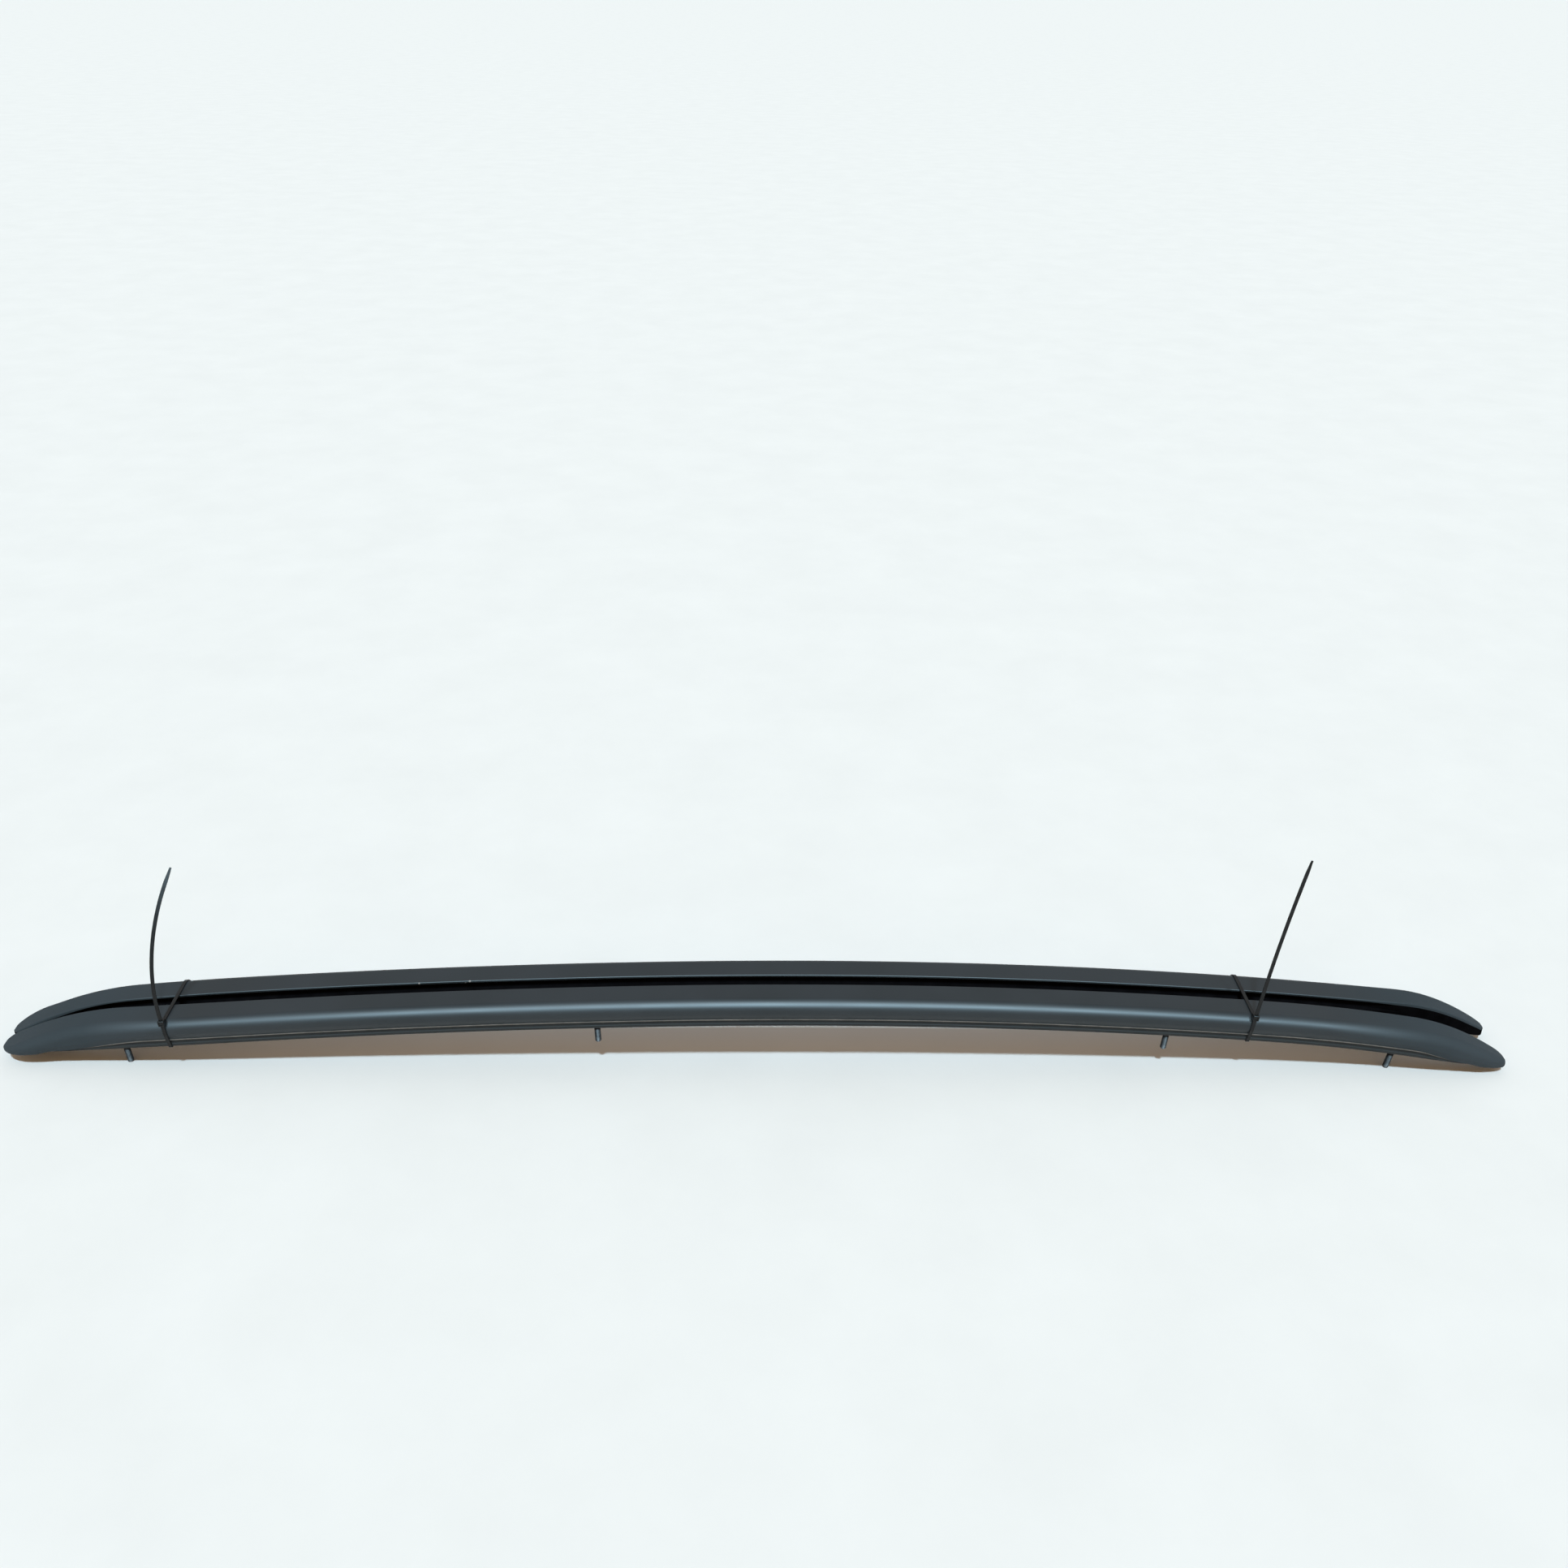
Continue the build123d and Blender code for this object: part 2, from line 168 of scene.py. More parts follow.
# Detail of the seals: sizes of the bead and the seam line's ledge in millimetres, their heights as shares of
# the seal's own height, and the numbers of the ledge's corners
SEAL_BEAD = 0.5
BEAD_PLACE = 0.62
SEAM_LEDGE = 2.2
LEDGE_ROOT = 0.2
LEDGE_UNDERSIDE = 0.12
LEDGE_CORNERS = (10, 11)

# Detail of the studs: lengths in millimetres, and shares
THREAD_PITCH = 1.25
THREAD_DEPTH = 0.68
THREAD_STEEPNESS = 2.6
THREAD_FLAT = 0.15
THREAD_RUN_IN = 1.4
THREAD_RUN_OUT = 1.0
NECK_EDGE = 0.2
HEAD_EDGE = 0.4
HEAD_SQUARENESS = 6
HEAD_FOOT_SHARE = 0.85
HEAD_TOP_SHARE = 0.9

# Detail of the ties: lengths in millimetres, and a share
STRAP_RIM = 0.25
STRAP_BORDER = 0.75
RIB_PITCH = 1.4
RIB_DEPTH = 0.18
RIB_SLOPE = 0.12
RIB_START = 4.0
RIB_END_SHARE = 0.6
TIE_HEAD_ROUND = 0.9
WINDOW_RIM = 1.1
WINDOW_SLOPE = 0.25
WINDOW_DEPTH = 0.7

# Fineness of the meshes, and the least angle in degrees that is shaded as an edge
STUD_EDGE_ANGLE = 32
TIE_EDGE_ANGLE = 35
STUD_SIDES = 32
ROWS_A_TURN = 8
SECTIONS_A_RIB = 4
ARC_STEP = 0.12
STATION_SHARE = 0.16
STATION_LEAST = 0.5
STATION_MOST = 6.0

# How far the middle of a strap stands off, and heights on a tie above the seal's underside
STAND_OFF = STRAP_CLEARANCE + STRAP_THICKNESS / 2
TIE_BELT = SEAL_HEIGHT + BELT_HEIGHT
TIE_TOP = SEAL_HEIGHT + BAR_HEIGHT
TIE_HEAD_LOW = TIE_TOP - TIE_HEAD_SEAT
TIE_HEAD_HIGH = TIE_HEAD_LOW + TIE_HEAD_HEIGHT


# Rail line and sections, in millimetres

def bend_drop(distance, start, radius):
    inside = min(distance, start)
    beyond = max(distance - start, 0.0)
    return inside**2 / (2 * CROWN_RADIUS) + beyond * start / CROWN_RADIUS + beyond**2 / (2 * radius)


def arch_drop(x):
    if x < CROWN_X:
        return bend_drop(CROWN_X - x, REAR_BEND_START, REAR_BEND_RADIUS)
    return bend_drop(x - CROWN_X, FRONT_BEND_START, FRONT_BEND_RADIUS)


def arch_slope(x):
    """Rise of the rail line over one millimetre."""
    return arch_drop(x - 0.5) - arch_drop(x + 0.5)


def half_gap(x):
    toe_in = max(-x - TOE_IN_START, 0.0) ** 2 / (2 * TOE_IN_RADIUS)
    flare = max(x - FLARE_START, 0.0) ** 2 / (2 * FLARE_RADIUS)
    return RAIL_GAP / 2 - toe_in + flare


def ease(share):
    share = min(max(share, 0.0), 1.0)
    return share * share * (3 - 2 * share)


def rounded_loss(distance, length):
    rest = 1 - min(distance / length, 1.0)
    return 1 - math.sqrt(1 - rest**2)


def width_and_shift(x):
    rear = x + RAIL_HALF
    front = RAIL_HALF - x
    inner = rounded_loss(rear, REAR_INNER_ROUND) + rounded_loss(front, FRONT_INNER_ROUND)
    outer = rounded_loss(rear, REAR_OUTER_ROUND) + rounded_loss(front, FRONT_OUTER_ROUND)
    shift = BAR_WIDTH * TIP_SHARE * inner
    return BAR_WIDTH - shift - BAR_WIDTH * (1 - TIP_SHARE) * outer, shift


def nose_fall(distance, length, thickness):
    whole = BAR_HEIGHT + SEAL_HEIGHT + TOE_DIP - thickness
    return whole * max(1 - distance / length, 0.0) ** 2


def bar_top(x):
    rear = nose_fall(x + RAIL_HALF, REAR_NOSE_LENGTH, REAR_NOSE_THICKNESS)
    front = nose_fall(RAIL_HALF - x, FRONT_NOSE_LENGTH, FRONT_NOSE_THICKNESS)
    return BAR_HEIGHT - rear - front


def toe_fall(distance, wedge_start, seal_end):
    wedge = (SEAL_HEIGHT - SEAL_END_HEIGHT) * ease((wedge_start - distance) / (wedge_start - seal_end))
    return wedge + (SEAL_END_HEIGHT + TOE_DIP) * ease((seal_end - distance) / TOE_RUN)


def bar_bottom(x):
    rear = toe_fall(x + RAIL_HALF, REAR_WEDGE_START, REAR_SEAL_END)
    front = toe_fall(RAIL_HALF - x, FRONT_WEDGE_START, FRONT_SEAL_END)
    return -rear - front


def stud_tip_fall(x):
    tilt = math.atan(abs(arch_slope(x)))
    reach = (SEAL_HEIGHT + STUD_REACH) * math.cos(tilt) - SEAL_HEIGHT
    return arch_drop(x) + reach + (STUD_RADIUS - STUD_CHAMFER) * math.sin(tilt)


CROWN_HEIGHT = max(stud_tip_fall(x) for x in STUD_X.values())


def seam_height(x):
    return CROWN_HEIGHT - arch_drop(x) + SEAL_HEIGHT


def to_world(x, u, v, side):
    """Point of a rail's section in metres: side is -1 for the right-hand rail and 1 for the left-hand one."""
    return (x * MM, side * (half_gap(x) + u) * MM, (seam_height(x) + v) * MM)


# Mesh helpers, with the least length and the largest share of an edge that its corners' arcs take, and how
# far from an arc a point is kept, as a length and as a share of the free edge
SHARP_REACH = 0.06
ARC_SHARE = 0.96
KEPT_LENGTH = 0.3
KEPT_SHARE = 0.3


def arc_reaches(edges, radii):
    """Length that each corner's arc takes from its edges, cut back where two arcs would meet on one edge."""
    reaches = []
    for i, radius in enumerate(radii):
        reaches.append(max(radius * math.tan(edges[i - 1].angle(edges[i]) / 2), SHARP_REACH))
    room = []
    for i, edge in enumerate(edges):
        taken = reaches[i] + reaches[(i + 1) % len(edges)]
        room.append(min(ARC_SHARE * edge.length / taken, 1.0))
    return [reach * min(room[i - 1], room[i]) for i, reach in enumerate(reaches)]


def rounded_outline(corners):
    """Closed outline of corners (u, v, radius, steps), each an arc with a point kept on both sides."""
    points = []
    count = len(corners)
    here = [Vector(c[:2]) for c in corners]
    edges = [here[(i + 1) % count] - here[i] for i in range(count)]
    reaches = arc_reaches(edges, [c[2] for c in corners])
    for i, corner in enumerate(corners):
        into = edges[i - 1].normalized()
        out = edges[i].normalized()
        before = edges[i - 1].length - reaches[i - 1] - reaches[i]
        after = edges[i].length - reaches[i] - reaches[(i + 1) % count]
        start = here[i] - into * reaches[i]
        end = here[i] + out * reaches[i]
        points.append(start - into * min(KEPT_LENGTH, KEPT_SHARE * before))
        points.extend(arc_points(start, here[i], end, corner[3]))
        points.append(end + out * min(KEPT_LENGTH, KEPT_SHARE * after))
    return points


def arc_points(start, corner, end, steps):
    """Points of the circular arc that touches two edges of a corner at its start and end."""
    weight = math.cos((corner - start).angle(end - corner) / 2)
    points = []
    for k in range(steps + 1):
        t = k / steps
        a, b, c = (1 - t) ** 2, 2 * weight * t * (1 - t), t * t
        points.append((start * a + corner * b + end * c) / (a + b + c))
    return points


def mesh_object(name, vertices, faces):
    mesh = bpy.data.meshes.new(name)
    mesh.from_pydata(vertices, [], faces)
    builder = bmesh.new()
    builder.from_mesh(mesh)
    bmesh.ops.recalc_face_normals(builder, faces=builder.faces)
    builder.to_mesh(mesh)
    builder.free()
    mesh.shade_smooth()
    piece = bpy.data.objects.new(name, mesh)
    scene.collection.objects.link(piece)
    return piece


def skin(loops):
    """Vertices and faces of a closed tube through loops of equal length, with a fan at each end."""
    size = len(loops[0])
    vertices = [p for loop in loops for p in loop]
    faces = []
    for row in range(len(loops) - 1):
        low, high = row * size, (row + 1) * size
        for i in range(size):
            j = (i + 1) % size
            faces.append((low + i, low + j, high + j, high + i))
    for loop, base in ((loops[0], 0), (loops[-1], (len(loops) - 1) * size)):
        middle = [sum(p[k] for p in loop) / size for k in range(3)]
        vertices.append(tuple(middle))
        hub = len(vertices) - 1
        for i in range(size):
            faces.append((base + i, base + (i + 1) % size, hub))
    return vertices, faces


def corner_starts(corners):
    """Number of the first outline point of each corner, and the number of points in all."""
    starts = [0]
    for corner in corners:
        starts.append(starts[-1] + corner[3] + 3)
    return starts


def paint_strip(piece, size, faces, rows, material):
    """Second material for some of the faces round a skin, along some of its rows."""
    piece.data.materials.append(material)
    for row in rows:
        for i in faces:
            piece.data.polygons[row * size + i].material_index = 1


def dress(piece, replaced, material):
    """Material of a piece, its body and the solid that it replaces."""
    piece.data.materials.append(material)
    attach(piece, "root")
    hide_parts(replaced)


def stations(rear_end, front_end):
    """Section places from tip to tip, close together at the formed ends."""
    places = []
    x = -RAIL_HALF + rear_end
    last = RAIL_HALF - front_end
    while x < last:
        places.append(x)
        near = min(x + RAIL_HALF, RAIL_HALF - x)
        x += min(max(STATION_SHARE * near, STATION_LEAST), STATION_MOST)
    places[-1] = last
    return places


# Rail bars

def groove_depth(x):
    rear_share = (x + RAIL_HALF - GROOVE_REAR_END) / GROOVE_FADE
    front_share = (RAIL_HALF - x - GROOVE_FRONT_END) / GROOVE_FADE
    return GROOVE_DEPTH * ease(min(rear_share, front_share))


def bar_corners(x):
    """Corners (u, v, radius, steps) of a bar's section, from its inner bottom edge outwards."""
    width, shift = width_and_shift(x)
    top = bar_top(x)
    bottom = bar_bottom(x)
    height = top - bottom
    scale = min(height / BAR_HEIGHT, width / BAR_WIDTH, 1.0)
    lip = LIP_RADIUS * scale + (1 - scale) * NOSE_LIP_SHARE * height
    shoulder = SHOULDER_RADIUS * min(scale * NOSE_SHOULDER_GAIN, 1.0)
    share = min(height / (LIP_THICKNESS + GROOVE_HEIGHT + GROOVE_SPARE), 1.0)
    depth = groove_depth(x)
    slant = LIP_DRAFT * share
    fade = GROOVE_MOUTH_FADE * slant * (1 - depth / GROOVE_DEPTH)
    high = top - max(LIP_THICKNESS * share, lip * LIP_SPARE)
    low = top - (LIP_THICKNESS + GROOVE_HEIGHT) * share
    edge = BAR_EDGE * scale
    return (
        (shift, bottom, edge, 3),
        (shift + width - SIDE_TUCK * scale, bottom, edge, 3),
        (shift + width, bottom + height * BELT_HEIGHT / BAR_HEIGHT, BELT_RADIUS * scale, 6),
        (shift + width, top, shoulder, 20),
        (shift, top, lip, 6),
        (shift, high - fade, GROOVE_MOUTH_ROUND, 2),
        (shift + depth, high - slant, GROOVE_FLOOR_ROUND, 3),
        (shift + depth, low + slant, GROOVE_FLOOR_ROUND, 3),
        (shift, low + fade, GROOVE_MOUTH_ROUND, 2),
    )


def bar_loops(side):
    """Sections of a bar in metres, drawn in a little at its tips."""
    loops = []
    for x in stations(TIP_CUT, TIP_CUT):
        outline = rounded_outline(bar_corners(x))
        tip = min(x + RAIL_HALF, RAIL_HALF - x) - TIP_CUT
        if tip < TIP_ROUND:
            centre = sum(outline, Vector((0, 0))) / len(outline)
            keep = TIP_KEEP + (1 - TIP_KEEP) * math.sqrt(1 - (1 - tip / TIP_ROUND) ** 2)
            outline = [centre + (p - centre) * keep for p in outline]
        loops.append([to_world(x, p.x, p.y, side) for p in outline])
    return loops


def paint_inside_shade(bar):
    """Second material, a painted shade of flat black, for the clamp groove and the rest of the inner side
    below the lip.
    """
    starts = corner_starts(bar_corners(0))
    faces = range(starts[GROOVE_CORNER] - 1, starts[-1])
    rows = range(len(stations(TIP_CUT, TIP_CUT)) - 1)
    paint_strip(bar, starts[-1], faces, rows, INSIDE_PAINTED_SHADE)


# Base seals

def seal_corners(x):
    """Corners (u, v, radius, steps) of a seal's section, from its inner top edge downwards."""
    width, shift = width_and_shift(x)
    inner = shift + SEAL_INSET
    outer = shift + width - SIDE_TUCK - SEAL_INSET
    top = bar_bottom(x) - SEAL_FIT
    thick = SEAL_HEIGHT + top
    depth = min(SEAL_RECESS, SEAL_RECESS_SHARE * thick)
    share = thick / SEAL_HEIGHT
    flare = SEAL_LIP_FLARE * share
    bead = SEAL_BEAD * share
    step = top - BEAD_PLACE * thick
    ledge = outer + SEAM_LEDGE * share
    return (
        (inner, top, 0.2, 2),
        (inner - flare, -SEAL_HEIGHT, 0.6 * share, 3),
        (inner + SEAL_LIP_WIDTH - depth / 2, -SEAL_HEIGHT, 0.5 * share, 3),
        (inner + SEAL_LIP_WIDTH, depth - SEAL_HEIGHT, 0.4 * share, 2),
        (outer - SEAL_LIP_WIDTH, depth - SEAL_HEIGHT, 0.4 * share, 2),
        (outer - SEAL_LIP_WIDTH + depth / 2, -SEAL_HEIGHT, 0.5 * share, 3),
        (outer + flare, -SEAL_HEIGHT, 0.7 * share, 3),
        (outer + flare * 0.8, step - bead, 0.3 * share, 2),
        (outer - bead * 0.4, step, 0.3 * share, 2),
        (outer, top - LEDGE_ROOT * thick, 0.3 * share, 2),
        (ledge, top - LEDGE_UNDERSIDE * thick, 0.4 * share, 3),
        (ledge, top, 0.4 * share, 3),
    )


def paint_ledge_highlight(seal):
    """Second material for the ledge that shows as the seam line: lighter rubber, a painted highlight."""
    starts = corner_starts(seal_corners(0))
    faces = range(starts[LEDGE_CORNERS[0]], starts[LEDGE_CORNERS[1] + 1] - 1)
    rows = range(len(stations(REAR_SEAL_END, FRONT_SEAL_END)) - 1)
    paint_strip(seal, starts[-1], faces, rows, SEAM_PAINTED_HIGHLIGHT)


def seal_loops(side):
    loops = []
    for x in stations(REAR_SEAL_END, FRONT_SEAL_END):
        loops.append([to_world(x, p.x, p.y, side) for p in rounded_outline(seal_corners(x))])
    return loops


# Studs

def stud_place(x, side):
    """Matrix of a stud: its origin on the seam line, local Z along the rail's upward normal."""
    slope = arch_slope(x)
    up = Vector((-slope, 0, 1)).normalized()
    along = Vector((1, 0, slope)).normalized()
    across = up.cross(along)
    turn = Matrix((along, across, up)).transposed().to_4x4()
    return Matrix.Translation(to_world(x, STUD_LINE, 0, side)) @ turn


def circle(radius, z):
    angles = [2 * math.pi * i / STUD_SIDES for i in range(STUD_SIDES)]
    return [(radius * math.cos(a), radius * math.sin(a), z) for a in angles]


def thread_radius(z, phase, tip, neck_end):
    """Radius at a height and a share of the turn, run in at the tip and run out at the neck."""
    depth = min(max(abs(phase - 0.5) * THREAD_STEEPNESS - THREAD_FLAT, 0.0), 1.0)
    run_in = min((z - tip) / THREAD_RUN_IN, 1.0)
    run_out = min((neck_end - z) / THREAD_RUN_OUT, 1.0)
    radius = STUD_RADIUS - THREAD_DEPTH * depth * run_out
    return min(radius, STUD_RADIUS - STUD_CHAMFER * (1 - run_in))


def thread_loops(tip, neck_end):
    """Rows of the thread up to the neck, each a part of a turn further on."""
    rows = int((neck_end - tip) / THREAD_PITCH * ROWS_A_TURN)
    loops = []
    for row in range(rows + 1):
        z = tip + (neck_end - tip) * row / rows
        loop = []
        for i in range(STUD_SIDES):
            angle = 2 * math.pi * i / STUD_SIDES
            phase = (row / ROWS_A_TURN - i / STUD_SIDES) % 1.0
            radius = thread_radius(z, phase, tip, neck_end)
            loop.append((radius * math.cos(angle), radius * math.sin(angle), z))
        loops.append(loop)
    return loops


def head_loop(z, grow):
    """Rounded oblong of a stud's head."""
    loop = []
    for c, s, _ in circle(1.0, z):
        reach = (abs(c) ** HEAD_SQUARENESS + abs(s) ** HEAD_SQUARENESS) ** (-1 / HEAD_SQUARENESS)
        loop.append((c * reach * grow * HEAD_LENGTH / 2, s * reach * grow * HEAD_WIDTH / 2, z))
    return loop


def stud_mesh():
    """Thread, neck and head of a stud in millimetres, upright, with the seam at zero."""
    tip = -SEAL_HEIGHT - STUD_REACH
    neck_end = SEAL_RECESS - SEAL_HEIGHT - WASHER_THICKNESS
    seat = WALL + HEAD_CLEARANCE
    top = seat + HEAD_THICKNESS
    heights = (
        (seat, HEAD_FOOT_SHARE), (seat + HEAD_EDGE, 1.0), (top - HEAD_EDGE, 1.0), (top, HEAD_TOP_SHARE),
    )
    loops = thread_loops(tip, neck_end)
    loops.append(circle(NECK_RADIUS - NECK_EDGE, neck_end))
    loops.append(circle(NECK_RADIUS, neck_end + NECK_EDGE))
    loops.append(circle(NECK_RADIUS, WALL))
    for z, grow in heights:
        loops.append(head_loop(z, grow))
    return skin(loops)


def sharpen(piece, degrees):
    piece.data.set_sharp_from_angle(angle=math.radians(degrees))


# Cable ties

class TieFrame:
    """Axes of a tie's loop and its half widths at the bars' sides and at the seals' feet."""

    def __init__(self, end):
        x = TIE_X[end]
        slope = arch_slope(x)
        self.origin = Vector((x, 0, seam_height(x) - SEAL_HEIGHT))
        self.across = Vector((0, 1, 0))
        self.up = Vector((-slope, 0, 1)).normalized()
        self.along = Vector((1, 0, slope)).normalized()
        self.side = half_gap(x) + BAR_WIDTH + STAND_OFF
        self.foot = half_gap(x) + BAR_WIDTH - SIDE_TUCK - SEAL_INSET + SEAL_LIP_FLARE + STAND_OFF

    def place(self, flat):
        return self.origin + self.across * flat.x + self.up * flat.y


def route_runs(corners, radii):
    """Straight runs and arcs of a route in a plane: start, end, an arc's corner, directions in and out."""
    points = [Vector(c) for c in corners]
    runs = []
    here = points[0]
    for i, radius in enumerate(radii, start=1):
        into = (points[i] - points[i - 1]).normalized()
        out = (points[i + 1] - points[i]).normalized()
        reach = radius * math.tan(into.angle(out) / 2)
        runs.append((here, points[i] - into * reach, None, into, into))
        here = points[i] + out * reach
        runs.append((points[i] - into * reach, here, points[i], into, out))
    runs.append((here, points[-1], None, out, out))
    return runs


def arc_route(corners, radii, step):
    """Points and directions along a route with rounded corners, about a step apart on its straight runs."""
    route = []
    runs = route_runs(corners, radii)
    for start, end, corner, into, out in runs:
        if corner is None:
            count = max(int((end - start).length / step), 1)
            route.extend((start.lerp(end, k / count), into) for k in range(count))
        else:
            count = max(int(into.angle(out) / ARC_STEP), 2)
            arc = arc_points(start, corner, end, count)
            route.extend((arc[k], into.slerp(out, k / count)) for k in range(count))
    route.append((runs[-1][1], runs[-1][4]))
    return route


def strap_loop(centre, width_dir, thick_dir, width, dent):
    """Rounded strap section, with a dent across the middle of its ribbed face."""
    half_w, half_t = width / 2, STRAP_THICKNESS / 2
    rim = STRAP_RIM
    flat = half_w - STRAP_BORDER * (width / STRAP_WIDTH)
    edge = flat + RIB_SLOPE
    outline = (
        (-half_w, -half_t + rim), (-half_w + rim, -half_t), (0.0, -half_t), (half_w - rim, -half_t),
        (half_w, -half_t + rim), (half_w, half_t - rim), (half_w - rim, half_t), (edge, half_t),
        (flat, half_t - dent), (-flat, half_t - dent), (-edge, half_t), (-half_w + rim, half_t),
        (-half_w, half_t - rim),
    )
    return [tuple((centre + width_dir * a + thick_dir * b) * MM) for a, b in outline]


def rib(distance):
    """Depth of the ribs pressed into the strap at a distance along it."""
    return RIB_DEPTH if (distance / RIB_PITCH) % 1.0 < 0.5 else 0.0


def strap_loops(tie):
    """Sections of the strap, from the head round both rails and back into the head."""
    high = TIE_TOP + STAND_OFF
    corners = (
        (TIE_HEAD_REACH - tie.side, high), (tie.side, high), (tie.side, TIE_BELT), (tie.foot, -STAND_OFF),
        (-tie.foot, -STAND_OFF), (-tie.side, TIE_BELT), (-tie.side, TIE_HEAD_HIGH),
    )
    radii = (SHOULDER_RADIUS + STAND_OFF, BELT_RADIUS, STRAP_CORNER_RADIUS, STRAP_CORNER_RADIUS, BELT_RADIUS)
    loops = []
    for point, direction in arc_route(corners, radii, RIB_PITCH):
        heading = tie.across * direction.x + tie.up * direction.y
        loops.append(strap_loop(tie.place(point), tie.along, heading.cross(tie.along), STRAP_WIDTH, 0.0))
    return loops


def tail_loops(tie, end):
    """Sections of the free tail: a circular arc away from the head, then a straight tip that tapers."""
    turn = math.radians(TAIL_TURN[end])
    lean = tie.across * math.cos(turn) + tie.along * math.sin(turn)
    radius = TAIL_BEND_RADIUS[end]
    start = tie.place(Vector((-tie.side, TIE_HEAD_HIGH)))
    whole = TAIL_LENGTH[end] + TAIL_TIP_LENGTH
    count = int(whole / RIB_PITCH * SECTIONS_A_RIB)
    loops = []
    for k in range(1, count + 1):
        distance = whole * k / count
        bent = min(distance, TAIL_LENGTH[end]) / radius
        beyond = max(distance - TAIL_LENGTH[end], 0.0)
        heading = tie.up * math.cos(bent) + lean * math.sin(bent)
        arc = tie.up * (radius * math.sin(bent)) + lean * (radius * (1 - math.cos(bent)))
        width_dir = (Matrix.Rotation(-bent, 3, lean.cross(tie.up)) @ tie.along).normalized()
        width = STRAP_WIDTH + (TAIL_TIP_WIDTH - STRAP_WIDTH) * beyond / TAIL_TIP_LENGTH
        ribbed = distance > RIB_START and beyond < TAIL_TIP_LENGTH * RIB_END_SHARE
        dent = rib(distance) if ribbed else 0.0
        centre = start + arc + heading * beyond
        loops.append(strap_loop(centre, width_dir, heading.cross(width_dir), width, dent))
    return loops


def head_mesh(tie):
    """Vertices and faces of a tie's head in metres: a rounded block with a sunk window."""
    outer = -tie.side - STRAP_THICKNESS / 2 - TIE_SLOT_CLEARANCE - TIE_HEAD_WALL
    low = Vector((outer, TIE_HEAD_LOW, -TIE_HEAD_WIDTH / 2))
    high = Vector((TIE_HEAD_REACH - tie.side, TIE_HEAD_HIGH, TIE_HEAD_WIDTH / 2))
    builder = bmesh.new()
    bmesh.ops.create_cube(builder, size=1.0)
    for vertex in builder.verts:
        vertex.co = Vector(low[i] + (high[i] - low[i]) * (vertex.co[i] + 0.5) for i in range(3))
    bmesh.ops.bevel(
        builder, geom=builder.edges[:], offset=TIE_HEAD_ROUND, segments=3, affect="EDGES", profile=0.6
    )
    builder.faces.ensure_lookup_table()
    window = min(builder.faces, key=lambda face: face.calc_center_median().x)
    bmesh.ops.inset_individual(builder, faces=[window], thickness=WINDOW_RIM, depth=0.0)
    bmesh.ops.inset_individual(builder, faces=[window], thickness=WINDOW_SLOPE, depth=-WINDOW_DEPTH)
    builder.verts.index_update()
    vertices = [tuple((tie.place(v.co.xy) + tie.along * v.co.z) * MM) for v in builder.verts]
    faces = [tuple(v.index for v in face.verts) for face in builder.faces]
    builder.free()
    return vertices, faces


def tie_mesh(end):
    """Vertices and faces of a tie in metres: the strap with its tail, and the head."""
    tie = TieFrame(end)
    vertices, faces = skin(strap_loops(tie) + tail_loops(tie, end))
    head_vertices, head_faces = head_mesh(tie)
    first = len(vertices)
    faces += [tuple(i + first for i in face) for face in head_faces]
    return vertices + head_vertices, faces


# Materials

def new_material(name):
    material = bpy.data.materials.new(name)
    material.use_nodes = True
    nodes = material.node_tree.nodes
    links = material.node_tree.links
    return material, nodes, links, nodes["Principled BSDF"]


def noise(nodes, links, scale, detail, roughness=0.5):
    place = nodes.new("ShaderNodeTexCoord")
    texture = nodes.new("ShaderNodeTexNoise")
    texture.inputs["Scale"].default_value = scale
    texture.inputs["Detail"].default_value = detail
    texture.inputs["Roughness"].default_value = roughness
    links.new(place.outputs["Object"], texture.inputs["Vector"])
    return texture.outputs["Fac"]


def ramp(nodes, links, source, low, high, start, end):
    """Value spread from one range to another, held at its ends."""
    spread = nodes.new("ShaderNodeMapRange")
    for name, value in (("From Min", low), ("From Max", high), ("To Min", start), ("To Max", end)):
        spread.inputs[name].default_value = value
    links.new(source, spread.inputs["Value"])
    return spread.outputs["Result"]


def blend_colour(nodes, links, factor, first, second):
    mix = nodes.new("ShaderNodeMix")
    mix.data_type = "RGBA"
    mix.inputs["A"].default_value = (*first, 1)
    mix.inputs["B"].default_value = (*second, 1)
    links.new(factor, mix.inputs["Factor"])
    return mix.outputs["Result"]


def lay_over(nodes, links, factor, under, colour):
    """Colour laid over what a socket gives, by a share."""
    over = blend_colour(nodes, links, factor, (0.0, 0.0, 0.0), colour)
    links.new(under, over.node.inputs["A"])
    return over


def patches(nodes, links, source, low=0.35, high=0.7):
    """Noise spread to a share from nought to one."""
    return ramp(nodes, links, source, low, high, 0.0, 1.0)


def bump(nodes, links, height, strength, distance):
    relief = nodes.new("ShaderNodeBump")
    relief.inputs["Strength"].default_value = strength
    relief.inputs["Distance"].default_value = distance
    links.new(height, relief.inputs["Height"])
    return relief.outputs["Normal"]


def larger(nodes, links, first, second):
    both = nodes.new("ShaderNodeMath")
    both.operation = "MAXIMUM"
    links.new(first, both.inputs[0])
    links.new(second, both.inputs[1])
    return both.outputs["Value"]


def backdrop_share(nodes, links):
    """One for rays that show the backdrop itself, and nought for those that carry its light."""
    path = nodes.new("ShaderNodeLightPath")
    mirrored = larger(nodes, links, path.outputs["Is Glossy Ray"], path.outputs["Is Transmission Ray"])
    return larger(nodes, links, path.outputs["Is Camera Ray"], mirrored)


